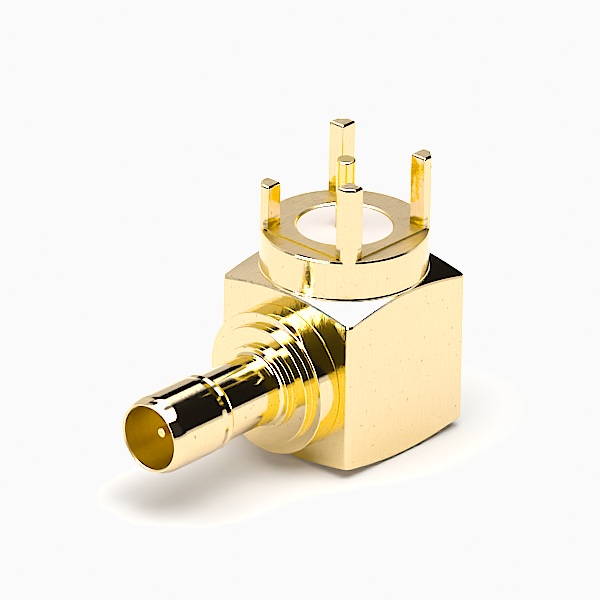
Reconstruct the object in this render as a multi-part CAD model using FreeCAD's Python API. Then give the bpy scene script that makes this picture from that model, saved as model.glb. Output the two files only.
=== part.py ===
import FreeCAD, Part
import math
import os

# Right-angle push-on coaxial jack for a circuit board. Millimetres.
# Z is up through the four legs, the barrel points along -Y, and the block lies
# on the turned flat of its lower end at Z = 0, under the middle of the collar.

V = FreeCAD.Vector
UP = V(0, 0, 1)

# block, turned at both ends from square bar
SIDE = 8.0              # across the flats of the bar
BAR_CORNER_R = 0.25     # upright corners of the bar
CONE_DEG = 18.0         # slope of the end that carries the collar
LOWER_CONE_DEG = 13.4
EDGE_BREAK = 0.06       # where the upper cone meets a flat
REST_INSET = 0.59       # flat left on the lower end, inside the flats
NECK_Z = 8.35           # cone meets collar

# collar and board seat
COLLAR_INSET = 0.07     # collar wall inside the flats
LAND_R = 0.03           # narrow land left at the foot of the collar, proud of it
LAND_H = 0.14
SEAT_Z = 10.45
SEGMENT_DROP = 0.09     # the seat outside the square of legs is milled lower

# legs, milled from the same bar and flush with the collar
LEG_REACH = 0.338       # circle of leg centres inside the collar wall, for a square of 5.08
LEG_W = 0.86
LEG_LEN = 3.58
SHORT_LEG_LEN = 2.16    # the leg at -X, -Y
LEG_TIP_R = 0.16

# barrel, turned, with a shank pressed into the block
AXIS_Z = 4.10
SHANK_R = 2.50
SHANK_SETBACK = 1.40    # end of the shank before the tail pin's axis
FLANGE_R = 3.45
FLANGE_T = 1.24
STEP_R = 2.88
STEP_T = 0.40
HUB_R = 2.04
HUB_T = 0.33
HUB_FILLET = 0.25
TUBE_R = 1.66
BEAD_R = 1.85
BEAD_LEN = 3.80         # mouth to the rear step of the bead
BEAD_BACK_R = 1.79      # the bead tapers to this before its rear step
BEAD_TAPER_LEN = 0.59
BEAD_STEP_LEN = 0.14
MOUTH_R = 1.65
NOSE_LEN = 0.75
BARREL_LEN = 9.15       # mouth to the face of the block
BARREL_BREAK = 0.05
MATING_R = 1.53
MATING_DEPTH = 5.00
MATING_LEAD = 0.06

# insulators
LINER_R = 1.30          # front insulator, inside the barrel
LINER_HEAD_R = 1.90
LINER_HEAD_LEN = 1.20
DISC_R = 2.24           # board insulator, inside the collar
DISC_WALL = 0.20        # left over the shank bore, under the disc
WELL_R = 1.70           # joins the two bores
DISC_RECESS = 0.10      # below the seat
DISC_LEAD = 0.08        # chamfer at the mouth of its bore

# centre conductors
PIN_R = 0.25            # mating end
PIN_TIP = 0.10
PIN_RECESS = 0.81       # tip behind the mouth
STEM_R = 0.45
STEM_LEAD = 0.20        # cone from the mating end to the stem, in front of the insulator
HEAD_R = 0.75
HEAD_GAP = 0.20         # behind the front insulator
HEAD_BACK = 0.95        # past the tail pin's axis
TAIL_R = 0.45
TAIL_REACH = 3.31       # above the seat
TAIL_TIP = 0.09
TAIL_SHOULDER_R = 0.62  # wider length that holds the pin in the insulator, up to the seat

TAN = math.tan(math.radians(CONE_DEG))
LOWER_TAN = math.tan(math.radians(LOWER_CONE_DEG))
FACE_Y = -SIDE / 2
REST_R = SIDE / 2 - REST_INSET
COLLAR_R = SIDE / 2 - COLLAR_INSET
LEG_PITCH = math.sqrt(2) * (COLLAR_R - LEG_REACH)
SHANK_Y = -SHANK_SETBACK
DISC_Z = AXIS_Z + SHANK_R + DISC_WALL
FLANGE_Y = FACE_Y - FLANGE_T
STEP_Y = FLANGE_Y - STEP_T
HUB_Y = STEP_Y - HUB_T
MOUTH_Y = FACE_Y - BARREL_LEN
MATING_Y = MOUTH_Y + MATING_DEPTH
BEAD_STEP_Y = MOUTH_Y + BEAD_LEN
BEAD_TAPER_Y = BEAD_STEP_Y - BEAD_TAPER_LEN
LINER_HEAD_Y = SHANK_Y - LINER_HEAD_LEN
TIP_Y = MOUTH_Y + PIN_RECESS
STEM_Y = MATING_Y
HEAD_Y = SHANK_Y + HEAD_GAP


def turned(points, arcs=None):
    """Revolve a closed outline of (radius, height) points about Z.

    arcs[i] is the middle point of an arc that leaves point i; other edges are straight.
    """
    corners = [V(r, 0, z) for r, z in points]
    edges = []
    for i, start in enumerate(corners):
        end = corners[(i + 1) % len(corners)]
        if arcs and i in arcs:
            middle = V(arcs[i][0], 0, arcs[i][1])
            edges.append(Part.Arc(start, middle, end).toShape())
        else:
            edges.append(Part.makeLine(start, end))
    return Part.Face(Part.Wire(edges)).revolve(V(0, 0, 0), UP, 360)


def turned_on_barrel_axis(points, arcs=None):
    """The same outline, its heights read as Y along the barrel."""
    solid = turned(points, arcs)
    solid.Placement = FreeCAD.Placement(V(0, 0, AXIS_Z), FreeCAD.Rotation(V(1, 0, 0), -90))
    return solid


def rounded(centre, radius, degrees):
    """The point at this angle on the circle of a fillet."""
    a = math.radians(degrees)
    return (centre[0] + radius * math.cos(a), centre[1] + radius * math.sin(a))


def square_block():
    """Square bar with both ends turned to a shallow cone, and the collar turned on top."""
    clear = SIDE
    turning = turned([
        (0, 0),
        (REST_R, 0),
        (clear, (clear - REST_R) * LOWER_TAN),
        (clear, NECK_Z - (clear - COLLAR_R) * TAN),
        (COLLAR_R + LAND_R, NECK_Z - LAND_R * TAN),
        (COLLAR_R + LAND_R, NECK_Z + LAND_H - LAND_R),
        (COLLAR_R, NECK_Z + LAND_H),
        (COLLAR_R, SEAT_Z),
        (0, SEAT_Z),
    ])
    bar = Part.makeBox(SIDE, SIDE, SEAT_Z, V(-SIDE / 2, -SIDE / 2, 0))
    upright = [e for e in bar.Edges if e.BoundBox.ZLength > SEAT_Z / 2]
    block = bar.makeFillet(BAR_CORNER_R, upright).common(turning)

    def cut_by_upper_cone(edge):
        middle = edge.valueAt((edge.FirstParameter + edge.LastParameter) / 2)
        outside_collar = math.hypot(middle.x, middle.y) > COLLAR_R + 2 * LAND_R
        return outside_collar and middle.z > SEAT_Z / 2 and edge.BoundBox.ZLength < SIDE / 4

    return block.makeFillet(EDGE_BREAK, [e for e in block.Edges if cut_by_upper_cone(e)])


def mill_segments(block):
    """Lower the four segments of the seat that lie outside the square of legs."""
    edge = LEG_PITCH / 2 + LEG_W / 2
    for turn in range(4):
        pass_of_mill = Part.makeBox(SIDE, SIDE, 2 * SEGMENT_DROP, V(-SIDE / 2, edge, SEAT_Z - SEGMENT_DROP))
        pass_of_mill.rotate(V(0, 0, 0), UP, 90 * turn)
        block = block.cut(pass_of_mill)
    return block


def leg(side_x, side_y, length):
    """One square leg, its outer corner cut by the collar wall, the edges of its tip rounded."""
    root = 2 * SEGMENT_DROP
    corner = V(side_x * LEG_PITCH / 2 - LEG_W / 2, side_y * LEG_PITCH / 2 - LEG_W / 2, SEAT_Z - root)
    post = Part.makeBox(LEG_W, LEG_W, length + root, corner)
    post = post.common(Part.makeCylinder(COLLAR_R, length + root, V(0, 0, SEAT_Z - root)))
    tip = [e for e in post.Edges if e.BoundBox.ZMin > SEAT_Z + length - LEG_TIP_R / 2]
    return post.makeFillet(LEG_TIP_R, tip)


def body():
    """Block, collar and legs in one piece, with two bores that meet in the middle."""
    solid = mill_segments(square_block())
    for side_x in (-1, 1):
        for side_y in (-1, 1):
            short = side_x < 0 and side_y < 0
            solid = solid.fuse(leg(side_x, side_y, SHORT_LEG_LEN if short else LEG_LEN))
    disc_bore = turned([
        (0, DISC_Z),
        (DISC_R, DISC_Z),
        (DISC_R, SEAT_Z - DISC_LEAD),
        (DISC_R + DISC_LEAD, SEAT_Z),
        (DISC_R + DISC_LEAD, SEAT_Z + DISC_LEAD),
        (0, SEAT_Z + DISC_LEAD),
    ])
    well = Part.makeCylinder(WELL_R, DISC_Z - AXIS_Z, V(0, 0, AXIS_Z))
    shank_bore = Part.makeCylinder(SHANK_R, SHANK_Y - FACE_Y, V(0, FACE_Y, AXIS_Z), V(0, 1, 0))
    cavity = Part.makeCylinder(LINER_HEAD_R, LINER_HEAD_R - SHANK_Y, V(0, SHANK_Y, AXIS_Z), V(0, 1, 0))
    for hole in (disc_bore, well, shank_bore, cavity):
        solid = solid.cut(hole)
    return solid.removeSplitter()


def barrel():
    """Outer contact: bored tube with a snap bead, and a flange turned in three steps."""
    outline = [
        (MATING_R + MATING_LEAD, MOUTH_Y),
        (MOUTH_R, MOUTH_Y),
        (BEAD_R, MOUTH_Y + NOSE_LEN),
        (BEAD_R, BEAD_TAPER_Y),
        (BEAD_BACK_R, BEAD_STEP_Y),
        (TUBE_R, BEAD_STEP_Y + BEAD_STEP_LEN),
        (TUBE_R, HUB_Y - HUB_FILLET),
        (TUBE_R + HUB_FILLET, HUB_Y),
        (HUB_R - BARREL_BREAK, HUB_Y),
        (HUB_R, HUB_Y + BARREL_BREAK),
        (HUB_R, STEP_Y),
        (STEP_R - BARREL_BREAK, STEP_Y),
        (STEP_R, STEP_Y + BARREL_BREAK),
        (STEP_R, FLANGE_Y),
        (FLANGE_R - BARREL_BREAK, FLANGE_Y),
        (FLANGE_R, FLANGE_Y + BARREL_BREAK),
        (FLANGE_R, FACE_Y),
        (SHANK_R, FACE_Y),
        (SHANK_R, SHANK_Y),
        (LINER_HEAD_R, SHANK_Y),
        (LINER_HEAD_R, LINER_HEAD_Y),
        (LINER_R, LINER_HEAD_Y),
        (LINER_R, MATING_Y),
        (MATING_R, MATING_Y),
        (MATING_R, MOUTH_Y + MATING_LEAD),
    ]
    nose = (MOUTH_R + 0.72 * (BEAD_R - MOUTH_R), MOUTH_Y + 0.45 * NOSE_LEN)
    fillet = rounded((TUBE_R + HUB_FILLET, HUB_Y - HUB_FILLET), HUB_FILLET, 135)
    return turned_on_barrel_axis(outline, {1: nose, 6: fillet})


def front_insulator():
    """Sleeve held in the barrel by its wider rear end."""
    return turned_on_barrel_axis([
        (STEM_R, MATING_Y),
        (LINER_R, MATING_Y),
        (LINER_R, LINER_HEAD_Y),
        (LINER_HEAD_R, LINER_HEAD_Y),
        (LINER_HEAD_R, SHANK_Y),
        (STEM_R, SHANK_Y),
    ])


def contact_pin():
    """Mating pin, its head cross-drilled for the tail pin."""
    outline = [
        (0, TIP_Y),
        (PIN_R - PIN_TIP, TIP_Y),
        (PIN_R, TIP_Y + PIN_TIP),
        (PIN_R, STEM_Y - STEM_LEAD),
        (STEM_R, STEM_Y),
        (STEM_R, HEAD_Y),
        (HEAD_R, HEAD_Y),
        (HEAD_R, HEAD_BACK),
        (0, HEAD_BACK),
    ]
    pin = turned_on_barrel_axis(outline, {1: rounded((PIN_R - PIN_TIP, TIP_Y + PIN_TIP), PIN_TIP, -45)})
    return pin.cut(Part.makeCylinder(TAIL_R, 4 * HEAD_R, V(0, 0, AXIS_Z - 2 * HEAD_R)))


def board_insulator():
    """Disc pressed into the collar, down to its shoulder."""
    top = SEAT_Z - DISC_RECESS
    return turned([(TAIL_SHOULDER_R, DISC_Z), (DISC_R, DISC_Z), (DISC_R, top), (TAIL_SHOULDER_R, top)])


def tail_pin():
    """Straight pin from the head of the contact up through the board insulator."""
    foot = AXIS_Z - HEAD_R
    top = SEAT_Z + TAIL_REACH
    return turned([
        (0, foot),
        (TAIL_R, foot),
        (TAIL_R, DISC_Z),
        (TAIL_SHOULDER_R, DISC_Z),
        (TAIL_SHOULDER_R, SEAT_Z),
        (TAIL_R, SEAT_Z),
        (TAIL_R, top - TAIL_TIP),
        (TAIL_R - TAIL_TIP, top),
        (0, top),
    ])


os.makedirs("parts", exist_ok=True)
for make in (body, barrel, front_insulator, contact_pin, board_insulator, tail_pin):
    solids = make().Solids
    if len(solids) != 1 or not solids[0].isValid():
        raise RuntimeError(make.__name__ + " is not one valid solid")
    solids[0].exportStep("parts/" + make.__name__ + ".step")
    print(make.__name__, round(solids[0].Volume, 3), "cubic mm")
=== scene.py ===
import bpy
import math
import numpy as np
from mathutils import Matrix, Vector


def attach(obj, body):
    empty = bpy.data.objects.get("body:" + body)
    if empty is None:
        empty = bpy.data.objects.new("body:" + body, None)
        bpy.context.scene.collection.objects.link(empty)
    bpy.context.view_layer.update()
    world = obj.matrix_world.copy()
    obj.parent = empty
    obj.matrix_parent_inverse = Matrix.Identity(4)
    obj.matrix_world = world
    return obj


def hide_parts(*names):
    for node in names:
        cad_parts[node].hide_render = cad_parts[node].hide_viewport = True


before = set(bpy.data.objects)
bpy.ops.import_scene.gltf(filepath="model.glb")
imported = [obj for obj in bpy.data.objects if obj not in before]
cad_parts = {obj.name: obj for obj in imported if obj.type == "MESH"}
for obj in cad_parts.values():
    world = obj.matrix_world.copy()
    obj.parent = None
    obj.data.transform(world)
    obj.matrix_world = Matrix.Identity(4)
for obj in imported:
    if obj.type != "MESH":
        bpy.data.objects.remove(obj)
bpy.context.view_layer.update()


# Body: one piece of square brass bar, both ends turned to a shallow cone, with a collar turned on
# the upper end and four legs left standing by the mill, then gold-plated. It carries every other
# piece. Drawn as the turned bar and four posts that run into its collar.
MM = 1e-3
SIDE = 8.0e-3
BAR_CORNER_R = 0.25e-3
CONE = math.radians(18)
LOWER_CONE = math.radians(13.4)
REST_R = 3.41e-3
NECK_Z = 8.35e-3
LAND_OUT = 0.03e-3
LAND_DOWN = 0.07e-3
NECK_RISE = 0.14e-3
COLLAR_R = 3.93e-3
SEAT_Z = 10.45e-3
SEGMENT_DROP = 0.09e-3
SEGMENT_IN = 0.14e-3
BORE_R = 2.24e-3
BORE_LEAD = 0.08e-3
DISC_Z = 6.8e-3
EDGE_IN = 0.04e-3
EDGE_DOWN = 0.10e-3
LEG_PITCH = 5.08e-3
LEG_W = 0.86e-3
LEG_LEN = 3.58e-3
SHORT_LEG_LEN = 2.16e-3
LEG_TIP_R = 0.16e-3
LEG_EDGE_R = 0.04e-3
LEG_ROOT = 0.35e-3
SHARP = 0.01e-3
BREAK = 0.02e-3
GOLD = (0.98, 0.765, 0.46)
# Dark gold for wear and random tone, and also the colour of the painted shade on the body's step walls and
# leg feet.
WORN_AND_SHADED_GOLD = (0.30, 0.19, 0.08)


def rounded(corners, side_normals, radii, steps):
    """Every corner of a closed outline becomes an arc that touches both of its sides.

    corners[k, a] is a point of the plane, radii[k, a] its arc, and side_normals[k, a] the normal,
    in space or in the plane, of the side that leaves corner k. The centre of the arc lies
    radius / cos(turn / 2) from the corner, on its inner side where the outline turns left. The
    normal swings evenly from one side's to the next, and the point is centre + radius * normal.
    """
    leaving = np.roll(corners, -1, axis=0) - corners
    leaving = leaving / np.linalg.norm(leaving, axis=-1, keepdims=True)
    arriving = np.roll(leaving, 1, axis=0)
    out_before = np.stack([arriving[..., 1], -arriving[..., 0]], axis=-1)
    out_after = np.stack([leaving[..., 1], -leaving[..., 0]], axis=-1)
    turn = arriving[..., 0] * leaving[..., 1] - arriving[..., 1] * leaving[..., 0]
    side = np.where(turn >= 0, 1.0, -1.0)
    angle = np.arccos(np.clip((out_before * out_after).sum(axis=-1), -1, 1))
    tangent = radii * np.tan(angle / 2)
    centre = corners - arriving * tangent[..., None] - out_before * (side * radii)[..., None]

    def swing(first, last, share):
        gap = np.arccos(np.clip((first * last).sum(axis=-1), -1, 1))[..., None]
        safe = np.maximum(np.sin(gap), 1e-9)
        mixed = (np.sin((1 - share) * gap) * first + np.sin(share * gap) * last) / safe
        mixed = np.where(gap < 1e-6, first, mixed)
        return mixed / np.maximum(np.linalg.norm(mixed, axis=-1, keepdims=True), 1e-9)

    share = np.linspace(0, 1, steps)[None, :, None, None]
    flat = swing(out_before[:, None], out_after[:, None], share)
    points = centre[:, None] + flat * (side * radii)[:, None, :, None]
    arriving_normals = np.roll(side_normals, 1, axis=0)
    normals = swing(arriving_normals[:, None], side_normals[:, None], share)
    shape = (corners.shape[0] * steps, corners.shape[1])
    return points.reshape(*shape, 2), normals.reshape(*shape, normals.shape[-1])


def turned(outline, angles, radii, steps=5, facing=None, solid=True):
    """Skin of a piece on the Z axis, whose outline may change with the angle.

    outline[k, a] is (radius, height) at angles[a], counter-clockwise from the foot of the axis.
    A point is (radius cos angle, radius sin angle, height). facing[k, a] is the way that the
    side leaving corner k looks in plan, straight out from the axis unless it is given.
    """
    ray = np.stack([np.cos(angles), np.sin(angles)], axis=-1)
    outline = np.broadcast_to(outline, (outline.shape[0], len(angles), 2))
    radii = np.broadcast_to(radii, outline.shape[:2])
    if facing is None:
        facing = np.broadcast_to(ray, (outline.shape[0], len(angles), 2))
    leaving = np.roll(outline, -1, axis=0) - outline
    leaving = leaving / np.linalg.norm(leaving, axis=-1, keepdims=True)
    side_normals = np.concatenate([facing * leaving[..., 1:], -leaving[..., :1]], axis=-1)
    profile, normals = rounded(outline, side_normals, radii, steps)
    if solid:
        profile = profile[steps:-steps]
        normals = normals[steps:-steps]
    points = np.concatenate([profile[..., :1] * ray, profile[..., 1:]], axis=-1)
    poles = None
    if solid:
        poles = np.array([[0, 0, outline[0, 0, 1]], [0, 0, outline[-1, 0, 1]]])
    return points, normals, poles


def woven(points, normals, poles):
    """Vertices, normals and faces of a skin: quads between rings, and a fan at each pole."""
    rings, around = points.shape[:2]
    index = np.arange(rings * around).reshape(rings, around)
    here = index if poles is None else index[:-1]
    above = np.roll(index, -1, axis=0) if poles is None else index[1:]
    quads = np.stack([here, np.roll(here, -1, axis=1), np.roll(above, -1, axis=1), above], axis=-1)
    faces = quads.reshape(-1, 4).tolist()
    vertices = points.reshape(-1, 3)
    outward = normals.reshape(-1, 3)
    if poles is not None:
        foot = rings * around
        first = np.stack([np.full(around, foot), np.roll(index[0], -1), index[0]], axis=-1)
        last = np.stack([np.full(around, foot + 1), index[-1], np.roll(index[-1], -1)], axis=-1)
        faces = faces + first.tolist() + last.tolist()
        vertices = np.concatenate([vertices, poles])
        outward = np.concatenate([outward, [[0, 0, -1], [0, 0, 1]]])
    return vertices, outward, faces


def piece(name, skins, material, node, axis_z=None):
    """One object with exact normals, standing for a node; axis_z lays it along the barrel."""
    vertices = np.concatenate([skin[0] for skin in skins])
    outward = np.concatenate([skin[1] for skin in skins])
    faces = []
    start = 0
    for skin in skins:
        faces += [[start + i for i in face] for face in skin[2]]
        start += len(skin[0])
    if axis_z is not None:
        vertices = np.stack([vertices[:, 0], vertices[:, 2], axis_z - vertices[:, 1]], axis=-1)
        outward = np.stack([outward[:, 0], outward[:, 2], -outward[:, 1]], axis=-1)
    mesh = bpy.data.meshes.new(name)
    mesh.from_pydata(vertices.tolist(), [], faces)
    mesh.polygons.foreach_set("use_smooth", np.ones(len(faces), bool))
    mesh.normals_split_custom_set_from_vertices(outward.tolist())
    mesh.materials.append(material)
    made = bpy.data.objects.new(name, mesh)
    bpy.context.scene.collection.objects.link(made)
    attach(made, "root")
    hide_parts(node)
    return made


def worked(tree, operation, *values, kind="ShaderNodeMath"):
    """One arithmetic node; each value is a number or the socket that it comes from."""
    node = tree.nodes.new(kind)
    node.operation = operation
    for socket, value in zip(node.inputs, values):
        if isinstance(value, bpy.types.NodeSocket):
            tree.links.new(value, socket)
        else:
            socket.default_value = value
    return node.outputs["Value"]


def plus(tree, first, *others):
    for other in others:
        first = worked(tree, "ADD", first, other)
    return first


def minus(tree, first, second):
    return worked(tree, "SUBTRACT", first, second)


def times(tree, first, *others):
    for other in others:
        first = worked(tree, "MULTIPLY", first, other)
    return first


def most(tree, first, *others):
    for other in others:
        first = worked(tree, "MAXIMUM", first, other)
    return first


def distance(tree, first, second):
    return worked(tree, "SQRT", plus(tree, times(tree, first, first), times(tree, second, second)))


def above(tree, value, start, end):
    """0 up to start, 1 from end on, straight in between; it falls where end is below start."""
    share = worked(tree, "DIVIDE", minus(tree, value, start), end - start)
    return worked(tree, "MINIMUM", most(tree, share, 0), 1)


def blend(tree, share, first, second):
    """first where share is 0, second where it is 1."""
    kept = times(tree, minus(tree, 1, share), first)
    return plus(tree, kept, times(tree, share, second))


def effect(name):
    """A node group with the finish of a surface, and any shade painted into its colour, shared by the
    materials that show it.
    """
    tree = bpy.data.node_groups.new(name, "ShaderNodeTree")
    for label in ("Roughness", "Height", "Darkening"):
        tree.interface.new_socket(label, in_out="OUTPUT", socket_type="NodeSocketFloat")
    return tree, tree.nodes.new("NodeGroupOutput").inputs


def axes(tree, kind="Object"):
    """The x, y and z of a place on the object, or of the way that its surface looks."""
    split = tree.nodes.new("ShaderNodeSeparateXYZ")
    tree.links.new(tree.nodes.new("ShaderNodeTexCoord").outputs[kind], split.inputs[0])
    return split.outputs["X"], split.outputs["Y"], split.outputs["Z"]


def noise(tree, place, per_mm, detail=2):
    """Noise with so many features to the millimetre along each coordinate, mostly close to 0.5."""
    joined = tree.nodes.new("ShaderNodeCombineXYZ")
    for socket, value, count in zip(joined.inputs, place, per_mm):
        tree.links.new(times(tree, value, count / MM), socket)
    cloud = tree.nodes.new("ShaderNodeTexNoise")
    cloud.inputs["Scale"].default_value = 1
    cloud.inputs["Detail"].default_value = detail
    tree.links.new(joined.outputs["Vector"], cloud.inputs["Vector"])
    return cloud.outputs["Fac"]


def coated(name, tint, group, deepest, relief, metallic=1):
    """A group gives the roughness, the relief and how far the colour goes from tint to deepest."""
    material = bpy.data.materials.new(name)
    material.use_nodes = True
    tree = material.node_tree
    shader = tree.nodes["Principled BSDF"]
    shader.inputs["Metallic"].default_value = metallic
    surface = tree.nodes.new("ShaderNodeGroup")
    surface.node_tree = group
    tree.links.new(surface.outputs["Roughness"], shader.inputs["Roughness"])
    colour = tree.nodes.new("ShaderNodeMix")
    colour.data_type = "RGBA"
    tree.links.new(surface.outputs["Darkening"], colour.inputs["Factor"])
    ends = [socket for socket in colour.inputs if socket.type == "RGBA"]
    for socket, value in zip(ends, (tint, deepest)):
        socket.default_value = (*value, 1)
    mixed = [socket for socket in colour.outputs if socket.type == "RGBA"]
    tree.links.new(mixed[0], shader.inputs["Base Color"])
    bump = tree.nodes.new("ShaderNodeBump")
    bump.inputs["Distance"].default_value = relief
    tree.links.new(surface.outputs["Height"], bump.inputs["Height"])
    tree.links.new(bump.outputs["Normal"], shader.inputs["Normal"])
    return material


def bar_section(angles):
    """Distance from the axis to the rounded square bar, and the way that its side faces."""
    ray = np.stack([np.cos(angles), np.sin(angles)], axis=-1)
    flat = np.where(np.abs(ray) >= np.abs(ray).max(axis=-1, keepdims=True) - 1e-12, np.sign(ray), 0)
    reach = SIDE / 2 / np.abs(ray).max(axis=-1)
    centre = np.sign(ray) * (SIDE / 2 - BAR_CORNER_R)
    along = (centre * ray).sum(axis=-1)
    inside = along**2 - (centre**2).sum(axis=-1) + BAR_CORNER_R**2
    corner_reach = along + np.sqrt(np.maximum(inside, 0))
    at_corner = (np.abs(reach[:, None] * ray).min(axis=-1) > SIDE / 2 - BAR_CORNER_R)
    reach = np.where(at_corner, corner_reach, reach)
    corner_facing = (reach[:, None] * ray - centre) / BAR_CORNER_R
    facing = np.where(at_corner[:, None], corner_facing, flat)
    return reach, facing / np.linalg.norm(facing, axis=-1, keepdims=True), flat


corner_start = math.atan2(SIDE / 2 - BAR_CORNER_R, SIDE / 2)
flat_angles = np.linspace(-corner_start, corner_start, 72)
corner_angles = np.linspace(corner_start, math.pi / 2 - corner_start, 12)[1:-1]
quarter = np.concatenate([flat_angles, corner_angles])
block_angles = np.concatenate([quarter + math.pi / 2 * turn for turn in range(4)])
bar_reach, bar_facing, seat_facing = bar_section(block_angles)
ray = np.stack([np.cos(block_angles), np.sin(block_angles)], axis=-1)
chord_reach = np.minimum((LEG_PITCH + LEG_W) / 2 / np.abs(ray).max(axis=-1), COLLAR_R - SEGMENT_IN)
lower_z = (bar_reach - REST_R) * math.tan(LOWER_CONE)
upper_z = NECK_Z - (bar_reach - COLLAR_R) * math.tan(CONE)
cone_foot_z = NECK_Z - LAND_OUT * math.tan(CONE)
neck_top = NECK_Z + NECK_RISE
segment_z = SEAT_Z - SEGMENT_DROP
# Each corner: distance from the axis, height, rounding, and the way that the side after it faces.
block_corners = [
    (0, 0, 0, ray),
    (REST_R, 0, 0.15 * MM, ray),
    (bar_reach, lower_z, 0.07 * MM, bar_facing),
    (bar_reach, upper_z - EDGE_DOWN, 0.03 * MM, bar_facing),
    (bar_reach - EDGE_IN, upper_z + EDGE_IN * math.tan(CONE), SHARP, ray),
    (COLLAR_R + LAND_OUT, cone_foot_z, SHARP, ray),
    (COLLAR_R + LAND_OUT, neck_top - LAND_DOWN, 0.012 * MM, ray),
    (COLLAR_R, neck_top, SHARP, ray),
    (COLLAR_R, segment_z - EDGE_DOWN, 0.03 * MM, ray),
    (COLLAR_R - EDGE_IN, segment_z, SHARP, ray),
    (chord_reach, segment_z, SHARP, seat_facing),
    (chord_reach, SEAT_Z, SHARP, ray),
    (BORE_R + BORE_LEAD, SEAT_Z, BREAK, ray),
    (BORE_R, SEAT_Z - BORE_LEAD, BREAK, ray),
    (BORE_R, DISC_Z, 0.05 * MM, ray),
    (0, DISC_Z, 0, ray),
]
ones = np.ones(len(block_angles))
block_outline = np.array([np.stack([out * ones, up * ones], axis=-1) for out, up, _, _ in block_corners])
block_rounding = np.array([[rounding] for _, _, rounding, _ in block_corners])
block_facing = np.array([facing for _, _, _, facing in block_corners])
body_skins = [woven(*turned(block_outline, block_angles, block_rounding, 5, block_facing))]


def leg_skin(side_x, side_y, length):
    """A square post about its own middle; its outer corner is an arc of the collar wall."""
    near = (LEG_PITCH - LEG_W) / 2
    reach = (LEG_PITCH + LEG_W) / 2
    wall_start = math.acos(reach / COLLAR_R)
    wall = np.linspace(wall_start, math.pi / 2 - wall_start, 5)
    plan_x = np.concatenate([[near, reach], COLLAR_R * np.cos(wall), [near]])
    plan_y = np.concatenate([[near, near], COLLAR_R * np.sin(wall), [reach]])
    wall_r = 3 * MM
    corner_r = 0.03 * MM
    arcs = np.array([LEG_EDGE_R, LEG_EDGE_R, corner_r, wall_r, wall_r, wall_r, corner_r, LEG_EDGE_R])
    corners = np.stack([plan_x, plan_y], axis=-1) - LEG_PITCH / 2
    leaving = np.roll(corners, -1, axis=0) - corners
    leaving = leaving / np.linalg.norm(leaving, axis=-1, keepdims=True)
    outward = np.stack([leaving[:, 1], -leaving[:, 0]], axis=-1)
    plan, facing = rounded(corners[:, None], outward[:, None], arcs[:, None], 5)
    plan = plan[:, 0]
    facing = facing[:, 0]
    angles = np.arctan2(plan[:, 1], plan[:, 0])
    out = np.linalg.norm(plan, axis=-1)
    foot = SEAT_Z - LEG_ROOT
    top = SEAT_Z + length
    radius = np.stack([0 * out, out, out, 0 * out])
    height = np.array([foot, foot, top, top])[:, None] * np.ones(len(angles))
    outline = np.stack([radius, height], axis=-1)
    rounding = np.array([0, SHARP, LEG_TIP_R, 0])[:, None]
    all_facing = np.broadcast_to(facing, (4, *facing.shape))
    points, normals, poles = turned(outline, angles, rounding, 11, all_facing)
    turns = {(1, 1): 0, (-1, 1): 1, (-1, -1): 2, (1, -1): 3}[side_x, side_y]
    c, s = [(1, 0), (0, 1), (-1, 0), (0, -1)][turns]
    turn = np.array([[c, -s, 0], [s, c, 0], [0, 0, 1]])
    shift = np.array([side_x * LEG_PITCH / 2, side_y * LEG_PITCH / 2, 0])
    return woven(points @ turn.T + shift, normals @ turn.T, poles @ turn.T + shift)


for side_x, side_y, length in ((1, 1, LEG_LEN), (-1, 1, LEG_LEN), (-1, -1, SHORT_LEG_LEN), (1, -1, LEG_LEN)):
    body_skins.append(leg_skin(side_x, side_y, length))

# Its finish: brushed by the cutter on the seat, drawn and grained on the sides, chattered on the
# legs, with a few pits, painted shade on the walls where the mill stepped down, and painted shade
# in streaks at the leg feet. The reliefs are shares of the material's own, and the darks say how
# far the gold goes to the dark gold of wear and painted shade.
GRAIN_RELIEF = 0.45
DRAWN_RELIEF = 0.25
RIPPLE_RELIEF = 1.5
CHATTER_RELIEF = 9
CUTTER_RELIEF = 3.0
SIDE_ROUGHNESS = 0.09
SEAT_ROUGHNESS = 0.23
CUTTER_ROUGHNESS = 0.28
PITS_PER_MM = 5.3
PIT_START = 0.76
PIT_END = 0.86
PIT_DARK = 0.5
STEP_PAINTED_SHADE = 0.5
LEG_FOOT_PAINTED_SHADE = 0.85
HAZE_DARK = 0.11
BRUSHED_DARK = 0.7
milled, finish = effect("milled_bar")
x, y, z = axes(milled)
look_up = axes(milled, "Normal")[2]
from_axis = distance(milled, x, y)
on_lead = above(milled, from_axis, BORE_R + 0.12 * MM, BORE_R + 0.09 * MM)
near_seat = above(milled, z, SEAT_Z - 0.25 * MM, SEAT_Z - 0.15 * MM)
on_top = times(milled, most(milled, above(milled, look_up, 0.9, 0.97), on_lead), near_seat)
on_leg = above(milled, z, SEAT_Z + 0.01 * MM, SEAT_Z + 0.15 * MM)
on_front = above(milled, y, -SIDE / 2 + 0.12 * MM, -SIDE / 2 + 0.08 * MM)
cutter = noise(milled, (x, y, z), (16, 0.7, 0.3), 3)
drawn = noise(milled, (x, y, z), (13, 13, 0.9))
grain = noise(milled, (x, y, z), (12, 12, 12))
chatter = minus(milled, noise(milled, (x, y, z), (0.9, 0.9, 0.9)), 0.5)
ripple = minus(milled, noise(milled, (x, y, z), (3, 3, 2)), 0.5)
side_relief = plus(
    milled, times(milled, grain, GRAIN_RELIEF), times(milled, drawn, DRAWN_RELIEF),
    times(milled, ripple, on_front, RIPPLE_RELIEF), times(milled, chatter, on_leg, CHATTER_RELIEF),
)
seat_relief = times(milled, cutter, CUTTER_RELIEF)
milled.links.new(blend(milled, on_top, side_relief, seat_relief), finish["Height"])
satin = plus(milled, SEAT_ROUGHNESS, times(milled, cutter, CUTTER_ROUGHNESS))
milled.links.new(blend(milled, on_top, SIDE_ROUGHNESS, satin), finish["Roughness"])
pits = above(milled, noise(milled, (x, y, z), [PITS_PER_MM] * 3, 0), PIT_START, PIT_END)
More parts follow.
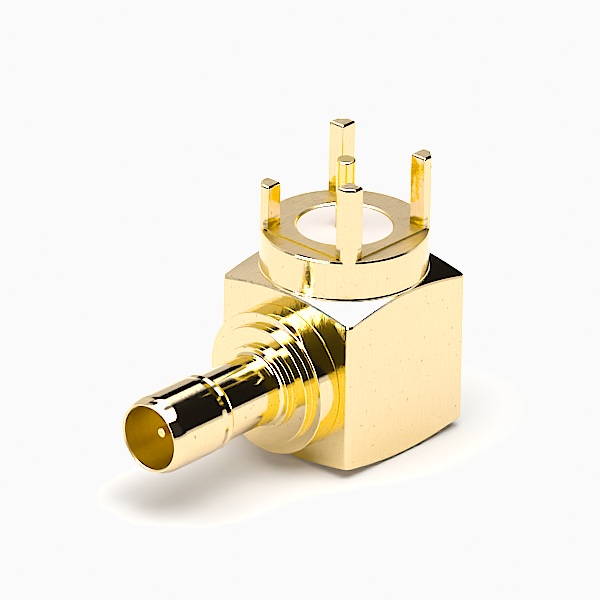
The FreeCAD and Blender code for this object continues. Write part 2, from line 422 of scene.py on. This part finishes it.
# Painted shade on the walls of the step down to the chord cuts and on the bore's lead, where the faces do
# not look up.
steps = times(
    milled, above(milled, z, segment_z - 0.02 * MM, segment_z), above(milled, z, SEAT_Z + 0.02 * MM, SEAT_Z),
    above(milled, look_up, 0.8, 0.3), above(milled, from_axis, COLLAR_R - 0.07 * MM, COLLAR_R - 0.13 * MM),
)
# Painted shade at the inner feet of the legs, just above the seat, broken into streaks by noise.
streaks = above(milled, noise(milled, (x, y, z), (1.5, 1.5, 4)), 0.40, 0.52)
leg_foot_shade = times(
    milled, above(milled, z, SEAT_Z + 0.01 * MM, SEAT_Z + 0.03 * MM),
    above(milled, z, SEAT_Z + 0.60 * MM, SEAT_Z + 0.40 * MM),
    above(milled, from_axis, COLLAR_R - 0.09 * MM, COLLAR_R - 0.13 * MM), streaks,
)
fine = plus(milled, times(milled, drawn, 0.45), times(milled, grain, 0.55))
haze = above(milled, fine, 0.42, 0.66)
brushed = times(milled, on_top, above(milled, cutter, 0.56, 0.80))
# Pits, haze and brushing are the plating's own; the step walls and leg feet add painted shade.
dark = most(
    milled, times(milled, pits, PIT_DARK), times(milled, steps, STEP_PAINTED_SHADE),
    times(milled, leg_foot_shade, LEG_FOOT_PAINTED_SHADE), times(milled, haze, HAZE_DARK),
    times(milled, brushed, BRUSHED_DARK),
)
milled.links.new(dark, finish["Darkening"])
plated_body = coated("plated_body", GOLD, milled, WORN_AND_SHADED_GOLD, relief=6e-6)
piece("body_skin", body_skins, plated_body, "body")


# Board insulator: a turned disc of white fluoropolymer, pressed into the collar with its face a
# little below the seat. It holds the tail pin in the middle.
DISC_FACE_Z = 10.35e-3
DISC_LIP_Z = 10.30e-3
DISC_HOLE_R = 0.455e-3
DISC_WHITE = (0.61, 0.565, 0.55)
DISC_SHADE = (0.56, 0.515, 0.50)
TAIL_SHOULDER_R = 0.62e-3
round_angles = np.linspace(0, 2 * math.pi, 161)[:-1]


def lathe(corners, steps=5, solid=True):
    """A piece of round section from (radius, height, rounding), foot first."""
    sizes = np.array(corners)
    return woven(*turned(sizes[:, None, :2], round_angles, sizes[:, 2:], steps, None, solid))


disc = lathe([
    (TAIL_SHOULDER_R, DISC_Z, BREAK),
    (BORE_R, DISC_Z, 2 * BREAK),
    (BORE_R, DISC_FACE_Z, 2 * BREAK),
    (DISC_HOLE_R, DISC_FACE_Z, SHARP),
    (DISC_HOLE_R, DISC_LIP_Z, SHARP),
    (TAIL_SHOULDER_R, DISC_LIP_Z, SHARP),
], solid=False)
# Its finish: faint turning rings and a slightly cloudy white.
faced, finish = effect("faced")
x, y, z = axes(faced)
faced.links.new(noise(faced, (distance(faced, x, y),), (9,)), finish["Height"])
finish["Roughness"].default_value = 0.42
faced.links.new(times(faced, noise(faced, (x, y, z), (0.8, 0.8, 0.8)), 0.5), finish["Darkening"])
insulator = coated("insulator", DISC_WHITE, faced, DISC_SHADE, relief=1.5e-6, metallic=0)
piece("board_insulator_skin", [disc], insulator, "board_insulator")


# Tail pin: a straight turned brass pin, gold-plated, held in the disc by its wider lower length.
# The shoulder ends just under the face of the disc.
TAIL_R = 0.45e-3
TAIL_FOOT_Z = 3.35e-3
TAIL_SHOULDER_Z = 10.29e-3
TAIL_TOP_Z = 13.76e-3
PIN_GOLD = (0.97, 0.74, 0.36)
WORN_PIN_GOLD = (0.40, 0.26, 0.10)
tail = lathe([
    (0, TAIL_FOOT_Z, 0),
    (TAIL_R, TAIL_FOOT_Z, BREAK),
    (TAIL_R, DISC_Z, BREAK),
    (TAIL_SHOULDER_R, DISC_Z, BREAK),
    (TAIL_SHOULDER_R, TAIL_SHOULDER_Z, 0.03 * MM),
    (TAIL_R, TAIL_SHOULDER_Z, BREAK),
    (TAIL_R, TAIL_TOP_Z, 0.09 * MM),
    (0, TAIL_TOP_Z, 0),
], 9)
# Its finish: scored round by the tool, and duller on the end that was cut off.
turned_rod, finish = effect("turned_rod")
x, y, z = axes(turned_rod)
scored = noise(turned_rod, (x, y, z), (3, 3, 12))
turned_rod.links.new(scored, finish["Height"])
cut_end = above(turned_rod, z, TAIL_TOP_Z - 0.06 * MM, TAIL_TOP_Z - 0.02 * MM)
smooth = plus(turned_rod, 0.10, times(turned_rod, scored, 0.14))
turned_rod.links.new(blend(turned_rod, cut_end, smooth, 0.38), finish["Roughness"])
turned_rod.links.new(above(turned_rod, scored, 0.74, 0.84), finish["Darkening"])
plated_contact = coated("plated_contact", PIN_GOLD, turned_rod, WORN_PIN_GOLD, relief=3e-6)
piece("tail_pin_skin", [tail], plated_contact, "tail_pin")


# Barrel: the outer contact, turned from brass bar and gold-plated, with the snap bead behind its
# mouth and a flange in three steps. Its shank is pressed into the body.
AXIS_Z = 4.10e-3
MOUTH_Y = -13.15e-3
MOUTH_R = 1.59e-3
RIM_R = 1.65e-3
NOSE_Y = -12.41e-3
NOSE_R = 1.464e-3
BEAD_R = 1.85e-3
BEAD_END_Y = -10.02e-3
DIP_R = 1.785e-3
DIP_Y = -9.68e-3
LIP_R = 1.82e-3
LIP_Y = -9.44e-3
TUBE_R = 1.66e-3
TUBE_Y = -9.21e-3
HUB_R = 2.04e-3
HUB_Y = -5.97e-3
STEP_R = 2.88e-3
STEP_Y = -5.64e-3
FLANGE_R = 3.45e-3
FLANGE_Y = -5.24e-3
SHANK_R = 2.50e-3
SHANK_END_Y = -1.40e-3
LINER_R = 1.30e-3
LINER_HEAD_R = 1.90e-3
LINER_HEAD_Y = -2.60e-3
MATING_R = 1.53e-3
MATING_END_Y = -8.15e-3
nose_turn = np.radians(np.linspace(28, 2, 9))
nose = [
    (BEAD_R - NOSE_R * (1 - math.cos(turn)), NOSE_Y - NOSE_R * math.sin(turn), 1.0 * MM)
    for turn in nose_turn
]
barrel = lathe([
    (MOUTH_R, MOUTH_Y, SHARP),
    (RIM_R, MOUTH_Y, BREAK),
    *nose,
    (BEAD_R, BEAD_END_Y, 0.50 * MM),
    (DIP_R, DIP_Y, 0.12 * MM),
    (LIP_R, LIP_Y, 0.03 * MM),
    (TUBE_R, TUBE_Y, 0.06 * MM),
    (TUBE_R, HUB_Y, 0.20 * MM),
    (HUB_R, HUB_Y, 0.05 * MM),
    (HUB_R, STEP_Y, BREAK),
    (STEP_R, STEP_Y, 0.05 * MM),
    (STEP_R, FLANGE_Y, BREAK),
    (FLANGE_R, FLANGE_Y, 0.05 * MM),
    (FLANGE_R, -SIDE / 2, 0.05 * MM),
    (SHANK_R, -SIDE / 2, BREAK),
    (SHANK_R, SHANK_END_Y, 0.05 * MM),
    (LINER_HEAD_R, SHANK_END_Y, BREAK),
    (LINER_HEAD_R, LINER_HEAD_Y, BREAK),
    (LINER_R, LINER_HEAD_Y, BREAK),
    (LINER_R, MATING_END_Y, BREAK),
    (MATING_R, MATING_END_Y, BREAK),
    (MATING_R, MOUTH_Y + MOUTH_R - MATING_R, SHARP),
], 7, False)
# Its finish: turning rings and fine grain, a duller bore, a few pits and a faint haze.
WALL_ROUGHNESS = 0.07
BORE_ROUGHNESS = 0.32
BARREL_HAZE_DARK = 0.12
lathed, finish = effect("lathed")
x, y, z = axes(lathed)
from_axis = distance(lathed, x, minus(lathed, z, AXIS_Z))
rings = noise(lathed, (from_axis, y), (14, 14))
grain = noise(lathed, (x, y, z), (9, 9, 9))
lathed.links.new(plus(lathed, times(lathed, rings, 0.45), times(lathed, grain, 0.55)), finish["Height"])
in_bore = times(
    lathed, above(lathed, from_axis, MATING_R + 0.08 * MM, MATING_R + 0.03 * MM),
    above(lathed, y, MATING_END_Y + 0.15 * MM, MATING_END_Y - 0.05 * MM),
)
lathed.links.new(blend(lathed, in_bore, WALL_ROUGHNESS, BORE_ROUGHNESS), finish["Roughness"])
pits = above(lathed, noise(lathed, (x, y, z), [PITS_PER_MM] * 3, 0), PIT_START, PIT_END)
fine = plus(lathed, times(lathed, rings, 0.5), times(lathed, grain, 0.5))
haze = above(lathed, fine, 0.45, 0.70)
worn = most(lathed, times(lathed, pits, PIT_DARK), times(lathed, haze, BARREL_HAZE_DARK))
lathed.links.new(worn, finish["Darkening"])
plated_barrel = coated("plated_barrel", GOLD, lathed, WORN_AND_SHADED_GOLD, relief=1.6e-6)
piece("barrel_skin", [barrel], plated_barrel, "barrel", AXIS_Z)


# Front insulator: a turned sleeve of white fluoropolymer with a head at its inner end, pushed into
# the barrel from behind. It holds the contact pin on the barrel's axis.
CORE_R = 0.45e-3
SLEEVE_WHITE = (0.93, 0.92, 0.91)
SLEEVE_SHADE = (0.90, 0.88, 0.87)
front = lathe([
    (CORE_R, MATING_END_Y, BREAK),
    (LINER_R, MATING_END_Y, 0.03 * MM),
    (LINER_R, LINER_HEAD_Y, BREAK),
    (LINER_HEAD_R, LINER_HEAD_Y, BREAK),
    (LINER_HEAD_R, SHANK_END_Y, 0.05 * MM),
    (CORE_R, SHANK_END_Y, BREAK),
], solid=False)
white_insulator = coated("white_insulator", SLEEVE_WHITE, faced, SLEEVE_SHADE, relief=1.5e-6, metallic=0)
piece("front_insulator_skin", [front], white_insulator, "front_insulator", AXIS_Z)


# Contact pin: turned from brass and gold-plated, thin and blunt inside the mouth, thicker in the
# insulator, with a head behind it where the tail pin meets it.
PIN_R = 0.25e-3
PIN_TIP_Y = -12.34e-3
PIN_END_Y = -8.35e-3
HEAD_R = 0.75e-3
HEAD_Y = -1.20e-3
HEAD_END_Y = 0.95e-3
contact = lathe([
    (0, PIN_TIP_Y, 0),
    (PIN_R, PIN_TIP_Y, 0.10 * MM),
    (PIN_R, PIN_END_Y, BREAK),
    (CORE_R, MATING_END_Y, BREAK),
    (CORE_R, HEAD_Y, BREAK),
    (HEAD_R, HEAD_Y, 0.05 * MM),
    (HEAD_R, HEAD_END_Y, 0.05 * MM),
    (0, HEAD_END_Y, 0),
], 9)
piece("contact_pin_skin", [contact], plated_contact, "contact_pin", AXIS_Z)


# Floor: plain matt paper under the object, wide enough to reach the horizon.
FLOOR = 1.5
PAPER = 0.65
floor_corners = [(-FLOOR, -FLOOR, 0), (FLOOR, -FLOOR, 0), (FLOOR, FLOOR, 0), (-FLOOR, FLOOR, 0)]
floor_mesh = bpy.data.meshes.new("floor")
floor_mesh.from_pydata(floor_corners, [], [(0, 1, 2, 3)])
floor = bpy.data.objects.new("floor", floor_mesh)
bpy.context.scene.collection.objects.link(floor)
paper = bpy.data.materials.new("paper")
paper.use_nodes = True
shader = paper.node_tree.nodes["Principled BSDF"]
shader.inputs["Base Color"].default_value = (PAPER, PAPER, PAPER, 1)
shader.inputs["Roughness"].default_value = 1
shader.inputs["Specular IOR Level"].default_value = 0
floor_mesh.materials.append(paper)


# Studio: what the object sees round it, by direction, squared up with the camera. A soft box
# overhead, a lit backdrop and wall behind and at the left, a pale strip at the horizon, low cards
# at the left, and a dark room elsewhere.
AZIMUTH = math.radians(41.9446)
OPEN = 99
BOX_STRENGTH = 2.6
NEARER_STRENGTH = 1.6
LAMP_STRENGTH = 5
SEAM_DEPTH = 0.85
DARK_ROOM = 0.013
between = bpy.data.node_groups.new("between", "ShaderNodeTree")
for label in ("Value", "From", "To", "Edge"):
    between.interface.new_socket(label, in_out="INPUT", socket_type="NodeSocketFloat")
between.interface.new_socket("Mask", in_out="OUTPUT", socket_type="NodeSocketFloat")
entry = between.nodes.new("NodeGroupInput").outputs


def rising(tree, value, start, edge):
    """0 below start, 1 above start + edge, smooth in between."""
    share = worked(tree, "DIVIDE", minus(tree, value, start), edge)
    share = worked(tree, "MINIMUM", most(tree, share, 0), 1)
    return times(tree, share, share, minus(tree, 3, times(tree, share, 2)))


half_edge = times(between, entry["Edge"], 0.5)
rise = rising(between, entry["Value"], minus(between, entry["From"], half_edge), entry["Edge"])
fall = rising(between, entry["Value"], minus(between, entry["To"], half_edge), entry["Edge"])
leave = between.nodes.new("NodeGroupOutput").inputs
between.links.new(minus(between, rise, fall), leave["Mask"])

world = bpy.data.worlds.new("studio")
bpy.context.scene.world = world
world.use_nodes = True
room = world.node_tree
room.nodes.clear()
direction = room.nodes.new("ShaderNodeTexCoord").outputs["Generated"]


def along(x, y, z):
    return worked(room, "DOT_PRODUCT", direction, (x, y, z), kind="ShaderNodeVectorMath")


def lit(value, start, end, edge):
    """1 where value is between start and end, with an edge so wide."""
    node = room.nodes.new("ShaderNodeGroup")
    node.node_tree = between
    room.links.new(value, node.inputs["Value"])
    node.inputs["From"].default_value = start
    node.inputs["To"].default_value = end
    node.inputs["Edge"].default_value = edge
    return node.outputs["Mask"]


to_right = along(math.cos(AZIMUTH), math.sin(AZIMUTH), 0)
to_back = along(-math.sin(AZIMUTH), math.cos(AZIMUTH), 0)
to_top = along(0, 0, 1)
high = most(room, to_top, 0.05)
across = worked(room, "DIVIDE", to_right, high)
away = worked(room, "DIVIDE", to_back, high)
plan = room.nodes.new("ShaderNodeCombineXYZ")
room.links.new(across, plan.inputs["X"])
room.links.new(away, plan.inputs["Y"])


def within(x, y, reach, edge):
    """Inside one straight edge of the soft box, in plan; (x, y) points out of it."""
    return lit(plus(room, times(room, across, x), times(room, away, y)), -OPEN, reach, edge)


def from_point(x, y):
    """Distance in plan from a point of the soft box."""
    node = room.nodes.new("ShaderNodeVectorMath")
    node.operation = "DISTANCE"
    room.links.new(plan.outputs["Vector"], node.inputs[0])
    node.inputs[1].default_value = (x, y, 0)
    return node.outputs["Value"]


overhead = lit(to_top, 0.25, OPEN, 0.1)
right_side = within(1, 0, 0.84, 0.12)
front_right_side = within(0.67, -0.74, 0.83, 0.08)
front_side = within(-0.225, -0.974, 0.77, 0.16)
left_side = within(-1, 0, 1.18, 0.12)
back_left_side = within(-0.73, 0.68, 0.85, 0.12)
back_side = within(0, 1, 1.26, 0.10)
back_right_side = within(0.887, 0.462, 0.755, 0.07)
dark_patch = lit(from_point(-0.37, 0.62), 0.22, OPEN, 0.12)
seam_side = plus(room, times(room, across, -0.82), times(room, away, 0.57))
seam_length = plus(room, times(room, across, 0.57), times(room, away, 0.82))
seam = times(room, lit(seam_side, -0.15, 0.03, 0.10), lit(seam_length, 0.05, 0.88, 0.3))
soft_box = times(
    room, overhead, right_side, front_right_side, front_side, left_side, back_left_side, back_side,
    back_right_side, dark_patch, minus(room, 1, times(room, seam, SEAM_DEPTH)),
)
lamp = lit(from_point(0.32, -0.28), -OPEN, 0.36, 0.25)
nearer_half = lit(away, -OPEN, 0.15, 0.3)
lamps = plus(room, times(room, lamp, LAMP_STRENGTH), times(room, nearer_half, NEARER_STRENGTH))
glow = times(room, soft_box, plus(room, lamps, BOX_STRENGTH))

behind = worked(room, "DIVIDE", to_right, most(room, to_back, 0.05))
ahead = lit(to_back, -0.13, OPEN, 0.12)
backdrop = times(room, lit(behind, -OPEN, 0.06, 0.10), lit(to_top, -OPEN, 0.41, 0.06), ahead)
corner = times(room, lit(behind, -OPEN, -0.25, 0.12), lit(to_top, -OPEN, 0.68, 0.08), ahead)
left_wall = times(room, lit(behind, -OPEN, -0.73, 0.20), lit(to_top, -OPEN, 0.88, 0.08), ahead)
horizon = lit(to_top, -OPEN, 0.10, 0.06)
nearby_left = times(room, lit(to_right, -OPEN, -0.15, 0.3), lit(to_back, -OPEN, -0.10, 0.2))
low_left = times(room, nearby_left, lit(to_top, -OPEN, 0.24, 0.15))
nearby = lit(to_back, -OPEN, -0.30, 0.3)
low_card = times(room, lit(along(0, -1, 0), 0.90, OPEN, 0.06), lit(to_top, -0.05, 0.26, 0.08))
for mask, strength in (
    (backdrop, 0.80), (corner, 0.92), (left_wall, 0.72), (horizon, 0.95),
    (nearby_left, 0.10), (low_left, 0.50), (nearby, 0.04), (low_card, 11.0),
):
    glow = most(room, glow, times(room, mask, strength))
glow = most(room, glow, DARK_ROOM)
background = room.nodes.new("ShaderNodeBackground")
room.links.new(glow, background.inputs["Strength"])
out = room.nodes.new("ShaderNodeOutputWorld")
room.links.new(background.outputs["Background"], out.inputs["Surface"])


# Camera: a long lens, as the photograph was taken, turned a little about its own axis.
ELEVATION = math.radians(25.9638)
ROLL = math.radians(1.0597)
FAR = 0.5
AIM = Vector((0, -2 * MM, 5 * MM))
AIM_RIGHT = -0.6313 * MM
AIM_UP = 2.0129 * MM
PIXELS_PER_MM = 21.6374
IMAGE_SIDE = 600
SENSOR = 36
sine = math.sin(ELEVATION)
cosine = math.cos(ELEVATION)
towards = Vector((math.sin(AZIMUTH) * cosine, -math.cos(AZIMUTH) * cosine, sine))
level = Vector((math.cos(AZIMUTH), math.sin(AZIMUTH), 0))
upright = Vector((-math.sin(AZIMUTH) * sine, math.cos(AZIMUTH) * sine, cosine))
right = level * math.cos(ROLL) + upright * math.sin(ROLL)
up = upright * math.cos(ROLL) - level * math.sin(ROLL)
place = AIM + AIM_RIGHT * right + AIM_UP * up + FAR * towards
lens = bpy.data.cameras.new("camera")
lens.sensor_width = SENSOR
lens.lens = PIXELS_PER_MM * FAR / MM * SENSOR / IMAGE_SIDE
lens.clip_start = 0.05
lens.clip_end = 20
camera = bpy.data.objects.new("camera", lens)
camera.matrix_world = Matrix((
    (right.x, up.x, towards.x, place.x),
    (right.y, up.y, towards.y, place.y),
    (right.z, up.z, towards.z, place.z),
    (0, 0, 0, 1),
))
bpy.context.scene.collection.objects.link(camera)
bpy.context.scene.camera = camera
bpy.context.scene.view_settings.view_transform = "Standard"


# Film: a light sharpening, deep gold that keeps less blue, pale gold that keeps some where green
# is over full, and white paper held just below full white.
SHARPENING = 0.12
DEEP_BLUE = 1.74
DEEP_RED = 0.348
SPILL = 0.35
PAPER_WHITE = 0.955
scene = bpy.context.scene
scene.use_nodes = True
film = scene.node_tree
film.nodes.clear()
layers = film.nodes.new("CompositorNodeRLayers")
crisp = film.nodes.new("CompositorNodeFilter")
crisp.filter_type = "SHARPEN"
crisp.inputs["Fac"].default_value = SHARPENING
split = film.nodes.new("CompositorNodeSeparateColor")
join = film.nodes.new("CompositorNodeCombineColor")
film.links.new(layers.outputs["Image"], crisp.inputs["Image"])
film.links.new(crisp.outputs["Image"], split.inputs["Image"])


def graded(operation, *values):
    return worked(film, operation, *values, kind="CompositorNodeMath")


red = graded("MINIMUM", split.outputs["Red"], 1)
green = graded("MINIMUM", split.outputs["Green"], 1)
blue = split.outputs["Blue"]
deep = graded("SUBTRACT", graded("MULTIPLY", blue, DEEP_BLUE), graded("MULTIPLY", red, DEEP_RED))
over = graded("MAXIMUM", graded("SUBTRACT", split.outputs["Green"], 1), 0)
blue = graded("ADD", graded("MAXIMUM", graded("MINIMUM", blue, deep), 0), graded("MULTIPLY", over, SPILL))
blue = graded("MINIMUM", blue, 1)
excess = graded("MAXIMUM", graded("SUBTRACT", blue, PAPER_WHITE), 0)
for channel, socket in (("Red", red), ("Green", green), ("Blue", blue)):
    film.links.new(graded("SUBTRACT", socket, excess), join.inputs[channel])
composite = film.nodes.new("CompositorNodeComposite")
film.links.new(join.outputs["Image"], composite.inputs["Image"])
